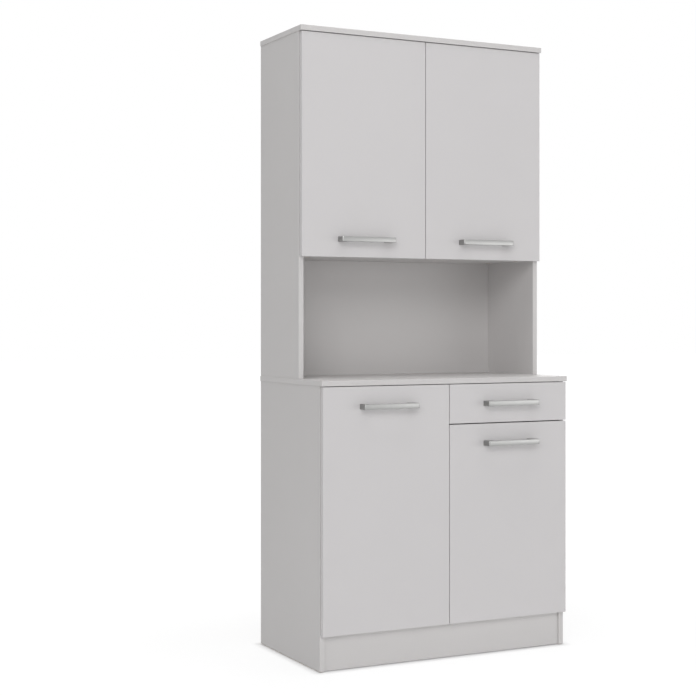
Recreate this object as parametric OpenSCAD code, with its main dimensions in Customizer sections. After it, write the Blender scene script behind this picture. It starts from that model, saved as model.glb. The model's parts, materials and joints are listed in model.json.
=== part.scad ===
// Tall kitchen cabinet for a microwave oven: a deep base cabinet with one tall
// door, a drawer and a short door, a worktop with an open niche above it, and a
// shallower two-door cabinet on top.
// Millimetres. X to the right, -Y to the front, Z up. The origin is on the
// floor, at the middle of the width and of the depth over the handles.

/* [Overall] */
// Width over the worktop and the top board
overall_w = 800; // [600:10:1000]
// Height from the floor to the top of the top board
overall_h = 1780; // [1600:10:2200]
// Height of the worktop's upper face above the floor
worktop_z = 792; // [700:2:900]
// Height of the niche above the worktop's upper face
niche_h = 343; // [280:1:450]
// Depth of the base cabinet's side panels
base_d = 403; // [370:1:520]
// Depth of the upper cabinet's side panels
hutch_d = 267; // [220:1:320]

/* [Boards] */
// Thickness of the carcass boards
board_t = 15; // [15:1:18]
// Thickness of the back sheets
back_t = 3; // [2.5:0.5:4]
// Recess behind the back sheets
back_recess = 9; // [8:1:15]
// Depth of the back sheets' grooves
groove_d = 6; // [4:0.5:8]
// Overhang of the worktop and top board past the side panels
side_lip = 2; // [0:0.5:6]
// Height of the plinth, floor glides included
plinth_h = 99; // [80:0.5:140]
// Setback of the plinth from the side panels' front edges
plinth_setback = 5; // [5:1:50]
// Height of the floor glides
glide_h = 2; // [1.5:0.5:5]

/* [Fronts] */
// Thickness of the doors and the drawer front
front_t = 15; // [15:1:19]
// Space between a closed front and the carcass
front_gap = 2; // [1.6:0.2:2.6]
// Distance of a door's hinged edge from the carcass's outer face
edge_inset = 2; // [1.5:0.5:3]
// Gap between two neighbouring doors
door_gap = 2; // [1.5:0.5:4]
// Gap between the drawer front and the door below it
row_gap = 3; // [2.5:0.5:5]
// Gap under the worktop and under the top board
head_gap = 2; // [1.5:0.5:4]
// Height of the drawer front
drawer_front_h = 111; // [106:1:150]
// Overhang of the top board past the upper doors' faces
top_lip = 3; // [0:1:8]
// Radius of the fronts' upright edges
edge_r = 1; // [0.5:0.1:1.5]

/* [Handles] */
// Length of a handle
handle_len = 172; // [120:1:220]
// Height of a handle's bar and feet
handle_h = 14.5; // [12:0.5:20]
// Projection of a handle from its front
handle_reach = 31; // [24:1:36]
// Thickness of a handle's bar
handle_bar = 7; // [5:0.5:9]
// Width of a handle's foot
handle_foot = 24; // [14:1:26]
// Drop from the top of a lower door to its handle's centre
handle_drop = 55; // [40:1:90]
// Rise from the bottom of an upper door to its handle's centre
handle_rise = 50; // [40:1:90]

/* [Shelves] */
// Height of the upper cabinet's shelf above its bottom board, to their mid-planes
hutch_shelf_rise = 306; // [250:2:340]
// Height of the left base shelf above the bottom board, to their mid-planes
left_shelf_rise = 330; // [150:2:430]
// Height of the right base shelf above the bottom board, to their mid-planes
right_shelf_rise = 262; // [150:2:320]
// Setback of the shelves from the carcass's front edge
shelf_setback = 24; // [10:1:60]
// Pitch of the shelf pin holes
pin_pitch = 32; // [25:1:40]

/* [Hinges] */
// Radius of the hinge cup
cup_r = 17.5; // [17:0.5:18]
// Depth of the hinge cup
cup_d = 12; // [11.5:0.5:12.5]
// Distance of a hinge's middle from the door's end
hinge_end = 90; // [70:2:110]
// Radius of the hinge pin
hinge_pin_r = 1.1; // [1:0.05:1.2]
// Radial running clearance of the hinge pin
hinge_play = 0.05; // [0.02:0.01:0.09]

/* [Drawer] */
// Thickness of the drawer's sides and back
drawer_t = 12; // [10:1:15]
// Height of the drawer's sides
drawer_h = 80; // [70:1:84]
// Length of the drawer's sides
drawer_len = 348; // [300:2:356]
// Width of the space that a runner takes beside the drawer
runner_w = 12.5; // [12.5:0.25:13.5]
// Radius of the drawer's own rear rollers
drawer_roller_r = 10; // [9.5:0.1:12]
// Radial running clearance of the rollers on their pins
roller_play = 0.08; // [0.03:0.01:0.09]

/* [Hidden] */
$fn = 48;

// clearance of a fixing in its hole, of a board in its groove, and a cut's overshoot
fit = 0.1;
eps = 0.01;

// planes of the carcass
depth_all = base_d + front_gap + front_t + handle_reach;
back_y = depth_all / 2;
base_y = back_y - base_d;
hutch_y = back_y - hutch_d;
carcass_w = overall_w - 2 * side_lip;
outer_x = carcass_w / 2;
inner_x = outer_x - board_t;
side_x = outer_x - board_t / 2;
sheet_y = back_y - back_recess - back_t;
worktop_low = worktop_z - board_t;
hutch_low = worktop_z + niche_h;
top_low = overall_h - board_t;
floor_top = plinth_h + board_t;
bottom_mid = plinth_h + board_t / 2;
hutch_mid = hutch_low + board_t / 2;

// fronts: low and high edge of each, and the upright edges beside the middle
lower_low = plinth_h;
lower_high = worktop_low - head_gap;
drawer_low = lower_high - drawer_front_h;
short_high = drawer_low - row_gap;
upper_low = hutch_low;
upper_high = top_low - head_gap;
front_w = outer_x - edge_inset - door_gap / 2;
front_mid_x = door_gap / 2 + front_w / 2;

// a door is [side, carcass front plane, low edge, high edge, handle height]
upper_left = [-1, hutch_y, upper_low, upper_high, upper_low + handle_rise];
upper_right = [1, hutch_y, upper_low, upper_high, upper_low + handle_rise];
lower_left = [-1, base_y, lower_low, lower_high, lower_high - handle_drop];
lower_right = [1, base_y, lower_low, short_high, short_high - handle_drop];
drawer_face = [1, base_y, drawer_low, lower_high, (drawer_low + lower_high) / 2];

// fixings
dowel_r = 4;
dowel_in = 20;
dowel_out = 9.5;
cam_r = 7.4;
cam_h = 12;
cam_reach = 34;
bolt_r = 2.5;
bolt_in = 11;
confirmat_r = 2.6;
confirmat_len = 35;
screw_r = 1.75;
shelf_pin_r = 2.45;
shelf_pin_in = 6.4;
shelf_pin_out = 7;
shelf_play = 1.6;
base_cam_y = [base_y + 60, base_y + 310];
base_dowel_y = [base_y + 110];
hutch_cam_y = [hutch_y + 42, hutch_y + 202];
hutch_dowel_y = [hutch_y + 122];
hutch_screw_y = [hutch_y + 50, hutch_y + 190];

// wall brackets
bracket_w = 18;
bracket_leg = 22;
bracket_t = 2;
bracket_hole = 14;
wall_hole_r = 2.75;

// shelf pins
base_pin_y = [base_y + shelf_setback + 37, base_y + 300];
hutch_pin_y = [hutch_y + shelf_setback + 37, hutch_y + 190];
hutch_shelf_z = hutch_mid + hutch_shelf_rise - board_t / 2;
left_shelf_z = bottom_mid + left_shelf_rise - board_t / 2;
right_shelf_z = bottom_mid + right_shelf_rise - board_t / 2;

// hinges, from the carcass's outer face (x) and front edge (y) at mid-height
pivot_x = edge_inset + 6;
pivot_y = -front_gap - 8.2;
cup_x = edge_inset + 2.5 + cup_r;
knuckle_r = hinge_pin_r + 0.8;
arm_w = 7;
plate_t = 1.6;
arm_t = 2.7;
arm_x = max(board_t + plate_t + 0.2, pivot_x + 8.8);
bar_top = 0.6;
channel_w = 16;
channel_h = 11;
sheet_metal = 1.3;
channel_y = 6;
channel_end = 60;
plate_y = [12, 62];
plate_screw_y = 37;
plate_screw_z = 16;
plate_screw_r = 2.9;
plate_screw_in = 11;
ear_x = cup_x + 6;
ear_z = 24;
ear_screw_in = 10;
flange_t = 1;

// handles
handle_screw_x = handle_len / 2 - handle_foot / 2;
handle_corner = 4;
handle_hollow = 5;
handle_screw_r = 1.95;
handle_screw_in = 11;

// drawer and runners, heights above the floor
bay_low = board_t / 2;
bay_w = inner_x - bay_low;
bay_mid = bay_low + bay_w / 2;
box_w = bay_w - 2 * runner_w;
box_low = drawer_low + 17.5;
box_back = base_y - front_gap + drawer_len;
steel_t = 1.2;
run_low = box_low - 4;
roller_gap = 0.3;
run_h = 2 * (drawer_roller_r + roller_gap);
flange_drop = 0.5;
flange_low = run_low + run_h - flange_drop - steel_t;
cabinet_roller_r = drawer_roller_r - 0.9;
cabinet_roller_z = flange_low - 0.2 - cabinet_roller_r;
drawer_roller_z = run_low + run_h / 2;
run_y = [base_y + 3, base_y + 353];
drawer_run_end = base_y + 344;
cabinet_roller_y = base_y + 15;
drawer_roller_y = base_y + 332;
roller_pin_r = 2.5;
roller_x = [2.9, 8.8];
drawer_floor_z = box_low + 10;
drawer_floor_t = 3;
drawer_groove = 5;
runner_screw_y = [base_y + 40, base_y + 168, base_y + 328];

// ---------------------------------------------------------------- shapes

// box between two corners
module slab(low, high) {
    translate(low) cube(high - low);
}

// rectangle with rounded corners, from its low corner
module soft_rect(w, h, r) {
    translate([r, 0]) square([w - 2 * r, h]);
    translate([0, r]) square([w, h - 2 * r]);
    for (x = [r, w - r], y = [r, h - r]) translate([x, y]) circle(r);
}

// board that lies flat, with soft edges along X
module flat_board(low, high, r) {
    translate(low) rotate([90, 0, 90]) linear_extrude(high.x - low.x)
        soft_rect(high.y - low.y, high.z - low.z, r);
}

// shaft along X from a to b
module shaft_x(r, a, b) {
    translate([a, 0, 0]) rotate([0, 90, 0]) cylinder(r = r, h = b - a);
}

// shaft along Y from a to b
module shaft_y(r, a, b) {
    translate([0, a, 0]) rotate([-90, 0, 0]) cylinder(r = r, h = b - a);
}

// ---------------------------------------------------------------- joints
// A board joint's own frame has its mating plane at x = 0. The board that
// holds the cam or takes the screw's thread lies at +x, the other at -x.

module dowel() {
    shaft_x(dowel_r, -dowel_out, dowel_in);
}

module dowel_hole() {
    shaft_x(dowel_r + fit, -dowel_out - 0.5, dowel_in + 1);
}

module cam_lock() {
    translate([cam_reach, 0, 0.4 - board_t / 2]) difference() {
        cylinder(r = cam_r, h = cam_h);
        translate([-cam_r - 1, -3.7, board_t / 2 - 4.1]) cube([cam_r + 5, 7.4, 7.4]);
        translate([-5, -0.6, -eps]) cube([10, 1.2, 1.4]);
        translate([-0.6, -5, -eps]) cube([1.2, 10, 1.4]);
    }
}

module cam_bolt() {
    shaft_x(bolt_r, -bolt_in, 1);
    shaft_x(3.4, 1, 3);
    shaft_x(2, 3, cam_reach - 2);
    shaft_x(3.3, cam_reach - 2, cam_reach + 2.5);
}

module cam_hole() {
    translate([cam_reach, 0, -board_t / 2 - 1]) cylinder(r = cam_r + fit, h = cam_h + 1.6);
    shaft_x(3.6, -eps, cam_reach);
    shaft_x(bolt_r + fit, -bolt_in - 0.3, eps);
}

module confirmat() {
    shaft_x(4.8, 0.2 - board_t, 4 - board_t);
    shaft_x(3.4, 4 - board_t, -eps);
    shaft_x(confirmat_r, -eps, confirmat_len);
}

module confirmat_hole() {
    shaft_x(4.9, -board_t - 1, 4.2 - board_t);
    shaft_x(3.5, -board_t, 0);
    shaft_x(confirmat_r + fit, -1, confirmat_len + 1);
}

// at both ends of a level board between the sides, cams from below
module level_ends(z, ys) {
    for (s = [0, 1], y = ys) mirror([s, 0, 0]) translate([-inner_x, y, z]) children();
}

// at the head of both sides, cams from inside
module side_heads(z, ys) {
    for (s = [0, 1], y = ys) mirror([s, 0, 0]) translate([-side_x, y, z])
        rotate([0, 0, 180]) rotate([0, 90, 0]) children();
}

// at the foot of both upper sides, upwards
module side_feet(z, ys) {
    for (s = [0, 1], y = ys) mirror([s, 0, 0]) translate([-side_x, y, z])
        rotate([0, -90, 0]) children();
}

module divider_foot() {
    for (y = base_cam_y) translate([0, y, floor_top]) rotate([0, -90, 0]) children();
}

module divider_head() {
    for (y = base_cam_y) translate([0, y, worktop_low]) rotate([0, 90, 0]) children();
}

module plinth_ends() {
    for (z = [plinth_h * 0.3, plinth_h * 0.72])
        level_ends(z, [base_y + plinth_setback + board_t / 2]) children();
}

module worktop_holes() {
    side_heads(worktop_low, base_cam_y) cam_hole();
    side_heads(worktop_low, base_dowel_y) dowel_hole();
    side_feet(worktop_z, hutch_screw_y) confirmat_hole();
    side_feet(worktop_z, hutch_dowel_y) dowel_hole();
    divider_head() dowel_hole();
}

module bottom_holes() {
    level_ends(bottom_mid, base_cam_y) cam_hole();
    level_ends(bottom_mid, base_dowel_y) dowel_hole();
    divider_foot() confirmat_hole();
}

module hutch_bottom_holes() {
    level_ends(hutch_mid, hutch_cam_y) cam_hole();
    level_ends(hutch_mid, hutch_dowel_y) dowel_hole();
}

module top_holes() {
    side_heads(top_low, hutch_cam_y) cam_hole();
    side_heads(top_low, hutch_dowel_y) dowel_hole();
}

// ---------------------------------------------------------------- shelves

// children at a face's pin places: s is -1 where the wall is on the left
module pins_at(s, wall_x, ys, z) {
    for (y = ys) translate([wall_x, y, z - shelf_pin_r]) mirror([s > 0 ? 1 : 0, 0, 0])
        children();
}

// column of three pin holes in a wall face
module pin_holes(s, wall_x, ys, z) {
    for (i = [-1:1]) pins_at(s, wall_x, ys, z + i * pin_pitch)
        shaft_x(shelf_pin_r + fit, -shelf_pin_in - 0.5, eps);
}

module shelf_pin() {
    shaft_x(shelf_pin_r, -shelf_pin_in, shelf_pin_out);
    shaft_x(4, 0, 1.2);
}

module shelf(low_x, high_x, front_y, rear_y, z) {
    flat_board([low_x + shelf_play, front_y, z], [high_x - shelf_play, rear_y, z + board_t], edge_r);
}

// ---------------------------------------------------------------- hinges

// children at a door's two hinges, in the hinge's own frame
module at_hinges(door) {
    for (z = [door[2] + hinge_end, door[3] - hinge_end])
        mirror([door[0] > 0 ? 1 : 0, 0, 0]) translate([-outer_x, door[1], z]) children();
}

module all_hinges() {
    for (door = [upper_left, upper_right, lower_left, lower_right])
        at_hinges(door) children();
}

// pressed steel cup with its flange and ears, cut open where the arm moves
module hinge_cup() {
    face = -front_gap;
    difference() {
        union() {
            translate([cup_x, 0, 0]) shaft_y(cup_r, face - cup_d, face);
            translate([0, face + flange_t, 0]) rotate([90, 0, 0]) linear_extrude(flange_t)
                difference() {
                    union() {
                        translate([cup_x, 0]) circle(cup_r + 1.5);
                        translate([ear_x - 6, -ear_z]) square([12, 2 * ear_z]);
                        for (z = [-ear_z, ear_z]) translate([ear_x, z]) circle(6);
                    }
                    translate([-1, -2 * cup_r]) square([cup_x - 9.5, 4 * cup_r]);
                    for (z = [-ear_z, ear_z]) translate([ear_x, z]) circle(screw_r + 0.3);
                }
        }
        slab([pivot_x - knuckle_r - 0.4, face - cup_d + 1, -arm_w / 2 - 0.4],
             [cup_x + cup_r - 3, 1, arm_w / 2 + 0.4]);
        intersection() {
            slab([pivot_x + 3.4, face - cup_d + 1, -11], [cup_x + cup_r - 2, 1, 11]);
            translate([cup_x, 0, 0]) shaft_y(cup_r - 1.2, face - cup_d, 2);
        }
        translate([pivot_x, pivot_y, -7]) cylinder(r = hinge_pin_r + 0.02, h = 14);
    }
}

module hinge_pin() {
    translate([pivot_x, pivot_y, -6.9]) cylinder(r = hinge_pin_r, h = 13.8);
}

module cup_screw() {
    for (z = [-ear_z, ear_z]) translate([ear_x, 0, z]) {
        shaft_y(screw_r, -front_gap - ear_screw_in, flange_t - front_gap);
        shaft_y(3.2, flange_t - front_gap, flange_t - front_gap + 1.3);
    }
}

// holes that a hinge needs in its door
module door_hinge_holes() {
    translate([cup_x, 0, 0]) shaft_y(cup_r + fit, -front_gap - cup_d - 0.2, 0);
    for (z = [-ear_z, ear_z]) translate([ear_x, 0, z])
        shaft_y(screw_r + fit, -front_gap - ear_screw_in - 0.5, 0);
}

// cranked arm with its knuckle, and the channel that sits on the plate
module hinge_arm() {
    low_y = pivot_y - knuckle_r;
    channel_x = arm_x + channel_h;
    difference() {
        union() {
            translate([0, 0, -arm_w / 2]) linear_extrude(arm_w) {
                translate([pivot_x, pivot_y]) circle(knuckle_r);
                translate([pivot_x, low_y]) square([arm_x + arm_t - pivot_x, knuckle_r + bar_top]);
                translate([arm_x, low_y]) square([arm_t, channel_y + 2 - low_y]);
            }
            slab([arm_x, channel_y, -channel_w / 2], [channel_x, channel_end, channel_w / 2]);
        }
        slab([arm_x - 1, channel_y + 2, sheet_metal - channel_w / 2],
             [channel_x - sheet_metal, channel_end + 1, channel_w / 2 - sheet_metal]);
        translate([pivot_x, pivot_y, -arm_w]) cylinder(r = hinge_pin_r + hinge_play, h = 2 * arm_w);
        translate([0, channel_end - 12, 0]) shaft_x(2.2, arm_x, channel_x + 1);
    }
}

// winged plate on the side panel, with the block that the arm clips over
module hinge_plate() {
    block = channel_w / 2 - sheet_metal - 0.3;
    difference() {
        union() {
            slab([board_t, plate_y[0], -block], [board_t + plate_t, plate_y[1], block]);
            translate([board_t, 0, 0]) rotate([90, 0, 90]) linear_extrude(plate_t) {
                translate([plate_screw_y - 6, -plate_screw_z]) square([12, 2 * plate_screw_z]);
                for (z = [-plate_screw_z, plate_screw_z])
                    translate([plate_screw_y, z]) circle(6);
            }
            slab([board_t + plate_t - eps, plate_y[0] + 6, -block],
                 [arm_x + channel_h - sheet_metal - 0.3, plate_y[1] - 4, block]);
        }
        for (z = [-plate_screw_z, plate_screw_z])
            translate([0, plate_screw_y, z]) shaft_x(plate_screw_r + 0.2, board_t - 1, 2 * board_t);
        translate([0, channel_end - 12, 0])
            shaft_x(screw_r + fit, board_t + plate_t + 2, board_t + 20);
    }
}

module hinge_screws() {
    top_x = arm_x + channel_h;
    for (z = [-plate_screw_z, plate_screw_z]) translate([0, plate_screw_y, z]) {
        shaft_x(plate_screw_r, board_t - plate_screw_in, board_t + plate_t);
        shaft_x(4.2, board_t + plate_t, board_t + plate_t + 1.6);
    }
    translate([0, channel_end - 12, 0]) {
        shaft_x(screw_r, board_t + plate_t + 2.5, top_x);
        shaft_x(3.4, top_x, top_x + 1.5);
    }
}

// holes that a hinge plate needs in its side panel
module side_hinge_holes(doors) {
    for (door = doors) at_hinges(door) for (z = [-plate_screw_z, plate_screw_z])
        translate([0, plate_screw_y, z])
            shaft_x(plate_screw_r + fit, board_t - plate_screw_in - 0.3, board_t + 1);
}

// ---------------------------------------------------------------- fronts

// middle of a front, at its outer face and its handle's height
module at_handle(face) {
    translate([face[0] * front_mid_x, face[1] - front_gap - front_t, face[4]]) children();
}

module front_panel(face) {
    low_x = face[0] * front_mid_x - front_w / 2;
    difference() {
        translate([low_x, face[1] - front_gap - front_t, face[2]])
            linear_extrude(face[3] - face[2]) soft_rect(front_w, front_t, edge_r);
        at_handle(face) for (x = [-handle_screw_x, handle_screw_x])
            translate([x, 0, 0]) shaft_y(handle_screw_r + 0.3, -1, front_t + 1);
    }
}

module door(face) {
    color([0.80, 0.80, 0.81]) difference() {
        front_panel(face);
        at_hinges(face) door_hinge_holes();
    }
}

// bow handle: a bar on two feet, one extruded outline with round corners
module handle(face) {
    color([0.70, 0.71, 0.72]) at_handle(face) difference() {
        translate([0, 0, -handle_h / 2]) linear_extrude(handle_h) difference() {
            translate([-handle_len / 2, -handle_reach]) {
                soft_rect(handle_len, handle_reach, handle_corner);
                translate([0, handle_reach / 2]) square([handle_len, handle_reach / 2]);
            }
            translate([handle_foot - handle_len / 2, handle_bar - handle_reach])
                soft_rect(handle_len - 2 * handle_foot, 2 * handle_reach, handle_hollow);
        }
        for (x = [-handle_screw_x, handle_screw_x])
            translate([x, 0, 0]) shaft_y(handle_screw_r + 0.05, -handle_screw_in - 1, 1);
    }
}

module handle_screws(face) {
    at_handle(face) for (x = [-handle_screw_x, handle_screw_x]) translate([x, 0, 0]) {
        shaft_y(handle_screw_r, -handle_screw_in, front_t);
        shaft_y(3.9, front_t, front_t + 1.7);
    }
}

module hinge_cups(face) {
    color("silver") at_hinges(face) hinge_cup();
}

module hinge_pins(face) {
    color("dimgray") at_hinges(face) hinge_pin();
}

module door_screws(face) {
    color("gray") {
        at_hinges(face) cup_screw();
        handle_screws(face);
    }
}

// ---------------------------------------------------------------- carcass

module base_side(s, doors, shelf_z) {
    wall_x = s * inner_x;
    color([0.78, 0.78, 0.79]) difference() {
        translate([s * side_x, 0, 0])
            slab([-board_t / 2, base_y, glide_h], [board_t / 2, back_y, worktop_low]);
        translate([wall_x, sheet_y - fit, 0])
            slab([-groove_d, 0, plinth_h - 1], [groove_d, back_t + 2 * fit, worktop_low + 1]);
        level_ends(bottom_mid, base_cam_y) cam_hole();
        level_ends(bottom_mid, base_dowel_y) dowel_hole();
        side_heads(worktop_low, base_cam_y) cam_hole();
        side_heads(worktop_low, base_dowel_y) dowel_hole();
        plinth_ends() dowel_hole();
        pin_holes(s, wall_x, base_pin_y, shelf_z);
        side_hinge_holes(doors);
        if (s > 0) runner_holes();
    }
}

module base_side_left() { base_side(-1, [lower_left], left_shelf_z); }

module base_side_right() { base_side(1, [lower_right], right_shelf_z); }

module base_bottom() {
    color([0.80, 0.80, 0.81]) difference() {
        slab([-inner_x, base_y, plinth_h], [inner_x, sheet_y, floor_top]);
        bottom_holes();
    }
}

module base_divider() {
    color([0.80, 0.80, 0.81]) difference() {
        slab([-board_t / 2, base_y, floor_top], [board_t / 2, sheet_y, worktop_low]);
        divider_foot() confirmat_hole();
        divider_head() dowel_hole();
        pin_holes(1, -board_t / 2, base_pin_y, left_shelf_z);
        pin_holes(-1, board_t / 2, base_pin_y, right_shelf_z);
        runner_holes();
    }
}

module plinth() {
    color([0.77, 0.77, 0.78]) difference() {
        translate([0, base_y + plinth_setback, 0])
            slab([-inner_x, 0, glide_h], [inner_x, board_t, plinth_h]);
        plinth_ends() dowel_hole();
    }
}

module countertop() {
    color([0.82, 0.82, 0.83]) difference() {
        flat_board([-overall_w / 2, base_y - front_gap - front_t, worktop_low],
                   [overall_w / 2, back_y, worktop_z], edge_r);
        slab([-inner_x - groove_d, sheet_y - fit, worktop_low - 1],
             [inner_x + groove_d, sheet_y + back_t + fit, worktop_low + groove_d]);
        worktop_holes();
    }
}

module base_back() {
    edge = groove_d - 0.5;
    color([0.76, 0.76, 0.77])
        slab([-inner_x - edge, sheet_y, plinth_h], [inner_x + edge, sheet_y + back_t, worktop_low + edge]);
}

module base_shelf_left() {
    color([0.80, 0.80, 0.81])
        shelf(-inner_x, -board_t / 2, base_y + shelf_setback, sheet_y - 2, left_shelf_z);
}

module base_shelf_right() {
    color([0.80, 0.80, 0.81])
        shelf(board_t / 2, inner_x, base_y + shelf_setback, sheet_y - 2, right_shelf_z);
}

module hutch_side(s, doors) {
    wall_x = s * inner_x;
    color([0.78, 0.78, 0.79]) difference() {
        translate([s * side_x, 0, 0])
            slab([-board_t / 2, hutch_y, worktop_z], [board_t / 2, back_y, top_low]);
        translate([wall_x, sheet_y - fit, 0])
            slab([-groove_d, 0, worktop_z - 1], [groove_d, back_t + 2 * fit, top_low + 1]);
        side_feet(worktop_z, hutch_screw_y) confirmat_hole();
        side_feet(worktop_z, hutch_dowel_y) dowel_hole();
        level_ends(hutch_mid, hutch_cam_y) cam_hole();
        level_ends(hutch_mid, hutch_dowel_y) dowel_hole();
        top_holes();
        pin_holes(s, wall_x, hutch_pin_y, hutch_shelf_z);
        side_hinge_holes(doors);
    }
}

module hutch_side_left() { hutch_side(-1, [upper_left]); }

module hutch_side_right() { hutch_side(1, [upper_right]); }

module hutch_bottom() {
    color([0.80, 0.80, 0.81]) difference() {
        slab([-inner_x, hutch_y, hutch_low], [inner_x, sheet_y, hutch_low + board_t]);
        hutch_bottom_holes();
    }
}

module hutch_top() {
    color([0.82, 0.82, 0.83]) difference() {
        flat_board([-overall_w / 2, hutch_y - front_gap - front_t - top_lip, top_low],
                   [overall_w / 2, back_y, overall_h], edge_r);
        slab([-inner_x - groove_d, sheet_y - fit, top_low - 1],
             [inner_x + groove_d, sheet_y + back_t + fit, top_low + groove_d]);
        top_holes();
        bracket_places() translate([0, -bracket_hole, -1]) cylinder(r = screw_r + fit, h = 13.4);
    }
}

module hutch_shelf() {
    color([0.80, 0.80, 0.81])
        shelf(-inner_x, inner_x, hutch_y + shelf_setback, sheet_y - 2, hutch_shelf_z);
}

module hutch_back() {
    edge = groove_d - 0.5;
    color([0.76, 0.76, 0.77]) difference() {
        slab([-inner_x - edge, sheet_y, worktop_z], [inner_x + edge, sheet_y + back_t, top_low + edge]);
        bracket_places() translate([0, 0, -bracket_hole]) shaft_y(wall_hole_r + 1.2, -1, back_t + 1);
    }
}

// ---------------------------------------------------------------- carcass fittings

module shelf_pins() {
    color("silver") {
        pins_at(-1, -inner_x, hutch_pin_y, hutch_shelf_z) shelf_pin();
        pins_at(1, inner_x, hutch_pin_y, hutch_shelf_z) shelf_pin();
        pins_at(-1, -inner_x, base_pin_y, left_shelf_z) shelf_pin();
        pins_at(1, -board_t / 2, base_pin_y, left_shelf_z) shelf_pin();
        pins_at(-1, board_t / 2, base_pin_y, right_shelf_z) shelf_pin();
        pins_at(1, inner_x, base_pin_y, right_shelf_z) shelf_pin();
    }
}

module floor_glides() {
    color([0.9, 0.9, 0.88]) for (x = [-side_x, side_x], y = [base_y + 40, back_y - 40])
        translate([x, y, 0]) cylinder(r = board_t / 2 - 0.5, h = glide_h);
}

module door_bumpers() {
    thick = front_gap - 0.3;
    color([0.85, 0.85, 0.85]) for (x = [-40, 40]) {
        translate([x, base_y, bottom_mid]) shaft_y(4, -thick, 0);
        translate([x, hutch_y, hutch_mid]) shaft_y(4, -thick, 0);
    }
}

module cam_locks() {
    color("silver") {
        level_ends(bottom_mid, base_cam_y) cam_lock();
        side_heads(worktop_low, base_cam_y) cam_lock();
        level_ends(hutch_mid, hutch_cam_y) cam_lock();
        side_heads(top_low, hutch_cam_y) cam_lock();
    }
}

module cam_bolts() {
    color("gray") {
        level_ends(bottom_mid, base_cam_y) cam_bolt();
        side_heads(worktop_low, base_cam_y) cam_bolt();
        level_ends(hutch_mid, hutch_cam_y) cam_bolt();
        side_heads(top_low, hutch_cam_y) cam_bolt();
    }
}

module panel_dowels() {
    color("burlywood") {
        level_ends(bottom_mid, base_dowel_y) dowel();
        side_heads(worktop_low, base_dowel_y) dowel();
        divider_head() dowel();
        side_feet(worktop_z, hutch_dowel_y) dowel();
        level_ends(hutch_mid, hutch_dowel_y) dowel();
        side_heads(top_low, hutch_dowel_y) dowel();
        plinth_ends() dowel();
    }
}

module confirmat_screws() {
    color("gray") {
        side_feet(worktop_z, hutch_screw_y) confirmat();
        divider_foot() confirmat();
    }
}

module bracket_places() {
    for (x = [60 - inner_x, inner_x - 60]) translate([x, sheet_y, top_low]) children();
}

// angles under the top board whose upright legs take the screws into a wall
module wall_brackets() {
    half = bracket_w / 2;
    color("silver") bracket_places() difference() {
        union() {
            slab([-half, -bracket_leg, -bracket_t], [half, 0, 0]);
            slab([-half, -bracket_t, -bracket_leg], [half, 0, 0]);
        }
        translate([0, -bracket_hole, -bracket_leg]) cylinder(r = screw_r + 0.3, h = bracket_leg + 1);
        translate([0, 0, -bracket_hole]) shaft_y(wall_hole_r, -bracket_leg, 1);
    }
}

module hinge_plates() {
    color("silver") all_hinges() hinge_plate();
}

module hinge_arms() {
    color("silver") all_hinges() hinge_arm();
}

module fixing_screws() {
    color("gray") {
        all_hinges() hinge_screws();
        runner_screws();
        bracket_places() translate([0, -bracket_hole, -bracket_t]) {
            cylinder(r = screw_r, h = bracket_t + 12);
            translate([0, 0, -1.5]) cylinder(r = 3.2, h = 1.5);
        }
    }
}

// ---------------------------------------------------------------- runners
// A runner's own frame has x = 0 on the bay's wall and x = runner_w on the
// drawer's side.

module at_runner(s) {
    translate([s > 0 ? inner_x : bay_low, 0, 0]) mirror([s > 0 ? 1 : 0, 0, 0]) children();
}

// channel fixed to the bay's wall, with the front roller's rivet
module cabinet_runner(s) {
    top = run_low + run_h;
    color([0.88, 0.88, 0.88]) at_runner(s) {
        difference() {
            union() {
                slab([0, run_y[0], run_low - steel_t], [9, run_y[1], run_low]);
                slab([0, run_y[0], run_low - steel_t], [steel_t, run_y[1], top + steel_t]);
                slab([0, run_y[0], top], [9, run_y[1], top + steel_t]);
            }
            for (y = runner_screw_y) translate([0, y, drawer_roller_z])
                shaft_x(screw_r + 0.3, -1, steel_t + 1);
        }
        translate([0, cabinet_roller_y, cabinet_roller_z]) {
            shaft_x(4, steel_t - eps, roller_x[0] - 0.3);
            shaft_x(roller_pin_r, steel_t - eps, roller_x[1] + 0.5);
            shaft_x(4, roller_x[1] + 0.3, roller_x[1] + 1.4);
        }
    }
}

module cabinet_runner_left() { cabinet_runner(-1); }

module cabinet_runner_right() { cabinet_runner(1); }

// angle under the drawer's side, with the flange that rides on the front roller
module drawer_runner(s) {
    web = runner_w - steel_t;
    flange_end = drawer_roller_y - drawer_roller_r - 4;
    color([0.88, 0.88, 0.88]) at_runner(s) {
        slab([web, base_y - front_gap, box_low - steel_t],
             [runner_w, drawer_run_end, flange_low + steel_t]);
        slab([web, base_y - front_gap, box_low - steel_t],
             [runner_w + drawer_t, drawer_run_end, box_low]);
        slab([2.3, base_y + 2, flange_low], [runner_w, flange_end, flange_low + steel_t]);
        translate([0, drawer_roller_y, drawer_roller_z]) {
            shaft_x(4, roller_x[1] + 0.3, web + eps);
            shaft_x(roller_pin_r, roller_x[0] - 0.5, web + eps);
            shaft_x(3.6, roller_x[0] - 0.9, roller_x[0] - 0.3);
        }
    }
}

module drawer_runner_left() { drawer_runner(-1); }

module drawer_runner_right() { drawer_runner(1); }

// nylon roller with a groove's width of waist, bored for its rivet
module roller(r) {
    rotate([0, 90, 0]) rotate_extrude() difference() {
        translate([roller_pin_r + roller_play, roller_x[0]])
            square([r - roller_pin_r - roller_play, roller_x[1] - roller_x[0]]);
        translate([roller_pin_r + 2.2, roller_x[1] - 1]) square([r - roller_pin_r - 4, 2]);
    }
}

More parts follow.
